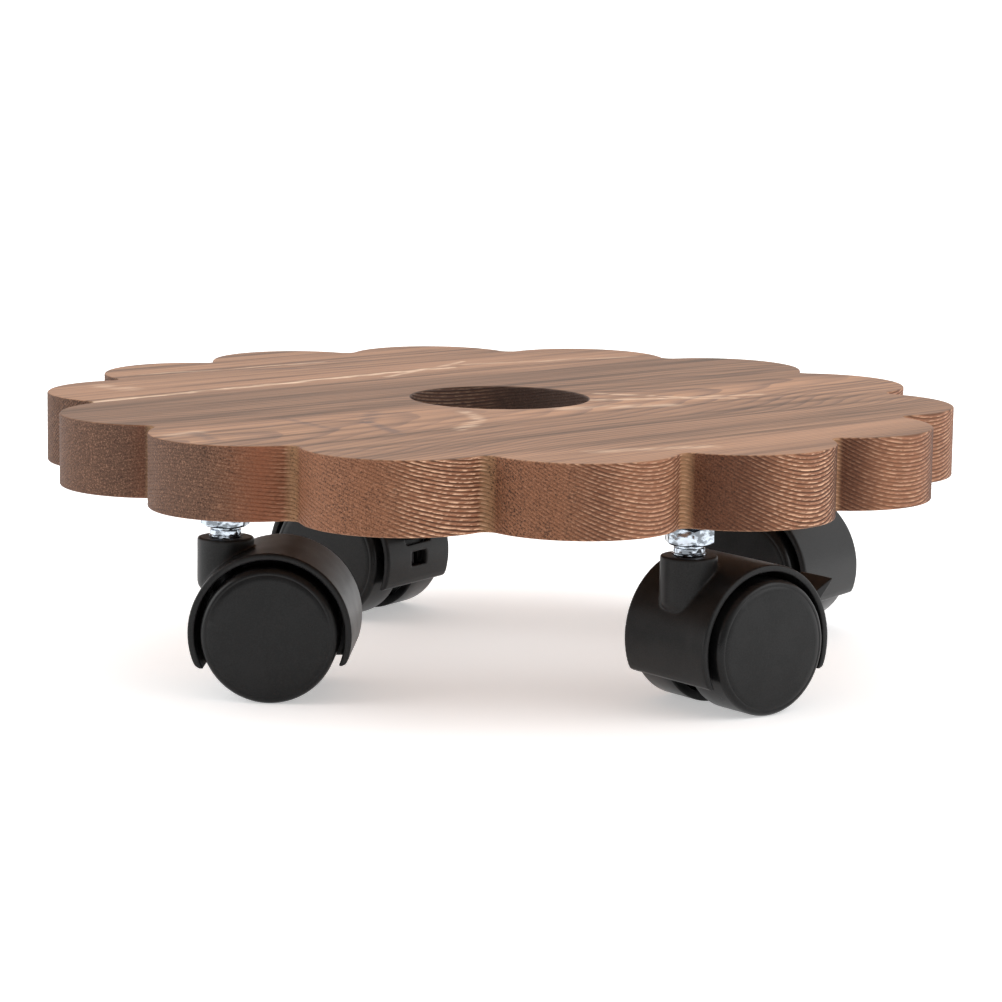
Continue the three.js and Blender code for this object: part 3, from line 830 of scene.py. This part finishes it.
def board_mesh():
    """The board, with its brushed relief, and what its material needs to know of each point."""
    points, rings, valleys, bores, starts, counts = [], [], [], [], [], []
    for spots, height, valley, bore, ridge, ways in board_loops():
        starts.append(len(points))
        counts.append(len(spots))
        valleys.extend(np.broadcast_to(valley, len(spots)))
        bores.extend([bore] * len(spots))
        for i, spot in enumerate(spots):
            point = Vector((spot[0], spot[1], height))
            count = ring_count(point)
            if ridge:
                share = count % 1
                proud = min(share / RIDGE_PEAK, (1 - share) / (1 - RIDGE_PEAK))
                point -= Vector((*ways[i], 0)) * (RIDGE_DEPTH * ridge * (1 - proud))
            points.append(point)
            rings.append(count)
    mesh = mesh_of("board", points, woven(starts, counts))
    for name, values in (("rings", rings), ("valley", valleys), ("bore", bores)):
        layer = mesh.attributes.new(name, "FLOAT", "POINT")
        layer.data.foreach_set("value", np.array(values, np.float32))
    return mesh


# ---- caster pieces, each in the caster's frame ----
def lever_bore():
    """The hole for the lever's pin."""
    x, z = LEVER_PIVOT
    return moved(on_axle(LEVER_BORE_RADIUS, HOOD_HALF_WIDTH, 24), Matrix.Translation((x, 0, z)))


def hood_mesh(brake):
    """Shell over both wheels with its middle web, axle boss and swivel barrel."""
    inner = HOOD_RADIUS - HOOD_WALL
    half = HOOD_HALF_WIDTH
    far = 2 * HOOD_RADIUS
    above = BARREL_TOP + 1
    drum = rounded([(0, -half, 0), (HOOD_RADIUS, -half, HOOD_EDGE), (HOOD_RADIUS, half, HOOD_EDGE),
                    (0, half, 0)], False)
    barrel = rounded([(0, BARREL_BOTTOM, 0), (BARREL_RADIUS, BARREL_BOTTOM, BARREL_FOOT_ROUND),
                      (BARREL_RADIUS, BARREL_TOP, HOOD_EDGE), (0, BARREL_TOP, 0)], False)
    barrel = moved(turned(barrel, 96), Matrix.Translation((-TRAIL, 0, 0)))
    shell = combined(moved(turned(drum, 160), TO_AXLE), [barrel], "UNION")
    shell = combined(shell, [on_axle(inner, 2 * half, 160)], "DIFFERENCE")
    web = combined(on_axle(inner + HOOD_WALL / 2, WEB_HALF, 96),
                   [upright(PIN_RADIUS + SOCKET_WALL, SOCKET_BOTTOM, inner, 48)], "UNION")
    web = combined(web, [on_axle(inner + HOOD_WALL / 2, half, 96)], "INTERSECT")
    web = combined(web, [on_axle(AXLE_RADIUS + WHEEL_WALL, WHEEL_INNER - GAP, 64)], "UNION")
    shell = combined(shell, [web], "UNION")
    (_, front_low), (_, back_low) = HOOD_SKIRT[0], HOOD_SKIRT[-1]
    cuts = [slab([(-far, -far), (far, -far), (far, front_low), *HOOD_SKIRT, (-far, back_low)], far),
            upright(PIN_RADIUS + GAP, PIN_BORE_BOTTOM, above, 48),
            upright(JOURNAL_RADIUS + GAP, JOURNAL_BORE_BOTTOM, above, 48),
            on_axle(AXLE_RADIUS + GAP, half, 48)]
    if brake:
        slot = (arc(HOOD_RADIUS + 4, SLOT_LOW, SLOT_HIGH, 6)
                + arc(SHOE_RADIUS - 1.4, SLOT_HIGH, SLOT_LOW - SLOT_SLANT, 8)
                + arc(inner, SLOT_LOW - SLOT_SLANT, SLOT_LOW, 2))
        near, beyond, wide = inner - 1, inner + 6, WINDOW_HALF_WIDTH
        window = extruded([(near, -wide), (beyond, -wide), (beyond, wide), (near, wide)],
                          -WINDOW_HALF_HEIGHT, WINDOW_HALF_HEIGHT)
        cuts += [slab(slot, LEVER_HALF_WIDTH + GAP), window, lever_bore()]
    shell = combined(shell, cuts, "DIFFERENCE")
    return moulded(shell, HOOD_VOXEL, 5)


def lever_mesh():
    """Foot brake: pedal, shoe over both treads, and two arms on the pin."""
    pedal = slab(rounded(PEDAL), LEVER_HALF_WIDTH)
    shoe = slab(arc(SHOE_RADIUS, SHOE_LOW, SHOE_HIGH, 10)
                + arc(SHOE_RADIUS + SHOE_THICKNESS, SHOE_HIGH, SHOE_LOW, 10), LEVER_HALF_WIDTH)
    arms = slab(arc(ARM_END, 100, 290, 20, LEVER_PIVOT)
                + arc(SHOE_RADIUS + SHOE_THICKNESS / 2, 16, 27, 6), WHEEL_INNER - 2 * GAP)
    fork = slab(arc(SHOE_RADIUS - GAP, -10, 60, 20) + arc(10, 60, -10, 8), WEB_HALF + GAP)
    lever = combined(pedal, [shoe], "UNION")
    lever = combined(lever, [on_axle(SHOE_RADIUS, 2 * HOOD_HALF_WIDTH, 160)], "DIFFERENCE")
    lever = combined(lever, [arms], "UNION")
    lever = combined(lever, [fork, lever_bore()], "DIFFERENCE")
    return moulded(lever, LEVER_VOXEL, 3)


def wheel_mesh(side):
    """Wheel with a slightly domed, grained face inside a smooth rounded shoulder."""
    bore = AXLE_RADIUS + GAP
    bearing = bore + WHEEL_WALL
    tread = WHEEL_RADIUS - WHEEL_WALL
    dome = [(r, WHEEL_CROWN - WHEEL_DOME * (r / FACE_RADIUS) ** 2)
            for r in np.linspace(0, FACE_RADIUS, 12)]
    lip = dome[-1][1]
    groove = [(17.98, lip - 0.06), (18.1, lip - 0.06), (18.22, lip - 0.02)]
    shoulder = [(WHEEL_RADIUS - WHEEL_RIM * (1 - math.sin(a)), lip - 2.2 + 2.18 * math.cos(a))
                for a in np.radians(np.linspace(8, 90, 9))]
    inside = rounded([(WHEEL_RADIUS, 10, 0), (WHEEL_RADIUS, WHEEL_INNER, 0.5), (tread, WHEEL_INNER, 0.4),
                      (tread, WHEEL_FLOOR, 0.6), (bearing, WHEEL_FLOOR, 0.6),
                      (bearing, WHEEL_INNER, 0.3), (bore, WHEEL_INNER, 0.2),
                      (bore, WHEEL_FLOOR, 0), (0, WHEEL_FLOOR, 0)], False)
    mesh = outward(moved(turned(dome + groove + shoulder + inside, 128), TO_AXLE))
    if side == "right":
        mesh.transform(Matrix.Scale(-1, 4, (0, 1, 0)))
        mesh.flip_normals()
    for face in mesh.polygons:
        middle = face.center
        on_face = abs(middle.y) > WHEEL_RADIUS
        face.material_index = int(on_face and math.hypot(middle.x, middle.z) < FACE_RADIUS)
    return mesh


def tooth_row(low, high, pitch, root, crest):
    """A profile of rounded thread turns between two heights."""
    turns = round((high - low) / pitch)
    points = []
    for k in range(turns):
        start = low + (high - low) * k / turns
        for share, radius in ((0, root), (0.3, crest - 0.05), (0.5, crest), (0.7, crest - 0.05)):
            points.append((radius, start + share * (high - low) / turns))
    return points


def stem_mesh():
    """Zinc-plated stem: pin, grooved journal, collar, neck, hexagon and M8 thread."""
    thread = tooth_row(THREAD_BOTTOM, THREAD_TOP, THREAD_PITCH, THREAD_ROOT, THREAD_CREST)
    end = [(THREAD_ROOT - 0.25, THREAD_TOP + 0.2), (0, THREAD_TOP + 0.3)]
    shaft = turned([*SHAFT, (4.0, HEX_TOP + 0.1), *thread, *end], 48)
    corner = HEX_FLAT / math.cos(math.pi / 6)
    prism = extruded([(corner * math.cos(a), corner * math.sin(a))
                      for a in np.radians(np.arange(30, 390, 60))], HEX_BOTTOM, HEX_TOP)
    round_off = turned([(0, HEX_BOTTOM), (HEX_FLAT - 0.6, HEX_BOTTOM), (corner, HEX_BOTTOM + 1.0),
                        (corner, HEX_TOP - 0.75), (HEX_FLAT - 0.2, HEX_TOP), (0, HEX_TOP)], 96)
    return combined(shaft, [combined(prism, [round_off], "INTERSECT")], "UNION")


def insert_mesh():
    """Threaded insert with a notched flange against the underside of the board."""
    top = BOARD_LOW.z + INSERT_DEPTH
    flange = BOARD_LOW.z - GAP
    thread = tooth_row(flange + 0.6, top - 0.4, INSERT_PITCH, INSERT_ROOT, INSERT_CREST)
    under = flange - FLANGE_THICKNESS
    profile = [(INSERT_BORE, under), (FLANGE_RADIUS - 0.5, under),
               (FLANGE_RADIUS - 0.15, under + 0.15), (FLANGE_RADIUS, under + 0.5),
               (FLANGE_RADIUS, flange - 0.15), (FLANGE_RADIUS - 0.15, flange), (5.2, flange),
               *thread, (INSERT_ROOT, top), (INSERT_BORE, top)]
    half = NOTCH_WIDTH / 2
    notch = [(-half, -9), (half, -9), (half, -7), (-half, -7)]
    notches = [moved(extruded(notch, flange - 3, flange - 0.5),
                     Matrix.Rotation(math.radians(turn), 4, "Z")) for turn in (0, 90, 180, 270)]
    return combined(turned(profile, 64, closed=True), notches, "DIFFERENCE")


# ---- assembly ----
wood = wood_material()
hood_plastic = plastic_material("satin_black_nylon", (0.0085, 0.0085, 0.0087), 0.40, 2600, 0.012)
wheel_plastic = plastic_material("black_nylon_tread", (0.0060, 0.0060, 0.0062), 0.30, 2200, 0.008)
grained_plastic = plastic_material("grained_black_nylon", (0.0155, 0.0155, 0.0158), 0.48, 1700, 0.12)
zinc = metal_material("bright_zinc_plate", (0.56, 0.62, 0.69), 0.12, (300, 300, 2600), 0.9)
steel = metal_material("drawn_steel", (0.50, 0.51, 0.53), 0.34, (900, 900, 900), 0.1)

piece("wood_board", board_mesh(), [wood], "board", ["board"])

joints = {joint["name"]: joint for joint in frame["joints"]}
hoods = {brake: hood_mesh(brake) for brake in (False, True)}
lever = lever_mesh()
wheels = {side: wheel_mesh(side) for side in ("left", "right")}
stem = stem_mesh()
insert = insert_mesh()

for number, turn in HEX_TURNS.items():
    stem_place = Vector(joints[f"swivel_{number}"]["pos_m"]) / MM
    axle_place = Vector(joints[f"roll_{number}_left"]["pos_m"]) / MM
    back = axle_place - stem_place
    heading = math.atan2(back.y, back.x)
    caster = Matrix.Translation(axle_place) @ Matrix.Rotation(heading, 4, "Z")
    upright_place = Matrix.Translation((stem_place.x, stem_place.y, 0))
    stem_turned = upright_place @ Matrix.Rotation(math.radians(turn), 4, "Z")
    brake = f"brake_press_{number}" in joints
    piece(f"moulded_hood_{number}", moved(hoods[brake].copy(), caster), [hood_plastic],
          f"caster_{number}", [f"hood_{number}"])
    for side, mesh in wheels.items():
        piece(f"moulded_wheel_{number}_{side}", moved(mesh.copy(), caster),
              [wheel_plastic, grained_plastic], f"wheel_{number}_{side}", [f"wheel_{number}_{side}"],
              40)
    if brake:
        piece(f"foot_lever_{number}", moved(lever.copy(), caster), [hood_plastic],
              f"brake_{number}", [f"brake_lever_{number}"])
    piece(f"plated_stem_{number}", moved(stem.copy(), stem_turned), [zinc], "board",
          [f"stem_{number}"], 25)
    piece(f"threaded_insert_{number}", moved(insert.copy(), upright_place), [zinc], "board",
          [f"insert_{number}"], 25)

for name, cad_node in frame["nodes"].items():
    if name.startswith(("clip_", "axle_", "brake_pin_")):
        cad_node.data.materials.clear()
        cad_node.data.materials.append(steel)


# ---- stage ----
def floor_material():
    """A pale floor that glows a little, so that it meets the white studio without an edge."""
    material, tree, shader = new_material("pale_floor", Roughness=0.7, Specular_IOR_Level=0.2,
                                          Emission_Color=(1, 1, 1, 1), Emission_Strength=0.4)
    place = node(tree, "ShaderNodeTexCoord").outputs["Object"]
    clouds = noise_of(tree, place, 3, 2, 0.5)
    tree.links.new(mixed(tree, clouds, *FLOOR_GREYS), shader.inputs["Base Color"])
    return material


def stage_floor():
    """A round floor that is so large that its edge lies beyond every view."""
    floor = bpy.data.objects.new("floor", turned([(0, 0), (6000, 0), (30000, 0)], 96))
    floor.data.transform(Matrix.Scale(MM, 4))
    floor.data.materials.append(floor_material())
    bpy.context.scene.collection.objects.link(floor)


def stage_lights():
    """Two wide suns in a white studio that is bright above, behind and beside, and dimmer in front."""
    for name, (place, irradiance) in SUNS.items():
        light = bpy.data.lights.new(name, "SUN")
        light.angle = math.radians(SUN_SPREAD)
        light.energy = irradiance
        lamp = bpy.data.objects.new(name, light)
        lamp.rotation_euler = (-Vector(place)).to_track_quat("-Z", "Y").to_euler()
        bpy.context.scene.collection.objects.link(lamp)
    world = bpy.data.worlds.new("studio")
    world.use_nodes = True
    tree = world.node_tree
    way = node(tree, "ShaderNodeTexCoord").outputs["Generated"]
    back = node(tree, "ShaderNodeSeparateXYZ", {"Vector": way}).outputs["Y"]
    front = between(tree, back, 0.0, -0.75)
    level = mixed(tree, front, STUDIO_BACK, STUDIO_FRONT)
    tree.links.new(level, tree.nodes["Background"].inputs["Color"])
    bpy.context.scene.world = world


def stage_camera():
    """The main view: from the front, a little above the board's top."""
    pitch, azimuth, roll = (math.radians(angle) for angle in CAMERA_ANGLES)
    ahead = Vector((math.sin(azimuth) * math.cos(pitch), math.cos(azimuth) * math.cos(pitch),
                    -math.sin(pitch)))
    level = ahead.cross(Vector((0, 0, 1))).normalized()
    over = level.cross(ahead)
    right = level * math.cos(roll) + over * math.sin(roll)
    up = over * math.cos(roll) - level * math.sin(roll)
    lens = bpy.data.cameras.new("camera")
    lens.lens = CAMERA_LENS
    lens.sensor_width = CAMERA_SENSOR
    lens.clip_end = 100
    camera = bpy.data.objects.new("camera", lens)
    rotation = Matrix((right, up, -ahead)).transposed().to_4x4()
    camera.matrix_world = Matrix.Translation(CAMERA_PLACE) @ rotation
    bpy.context.scene.collection.objects.link(camera)
    bpy.context.scene.camera = camera


stage_floor()
stage_lights()
stage_camera()
bpy.context.scene.view_settings.view_transform = "Standard"
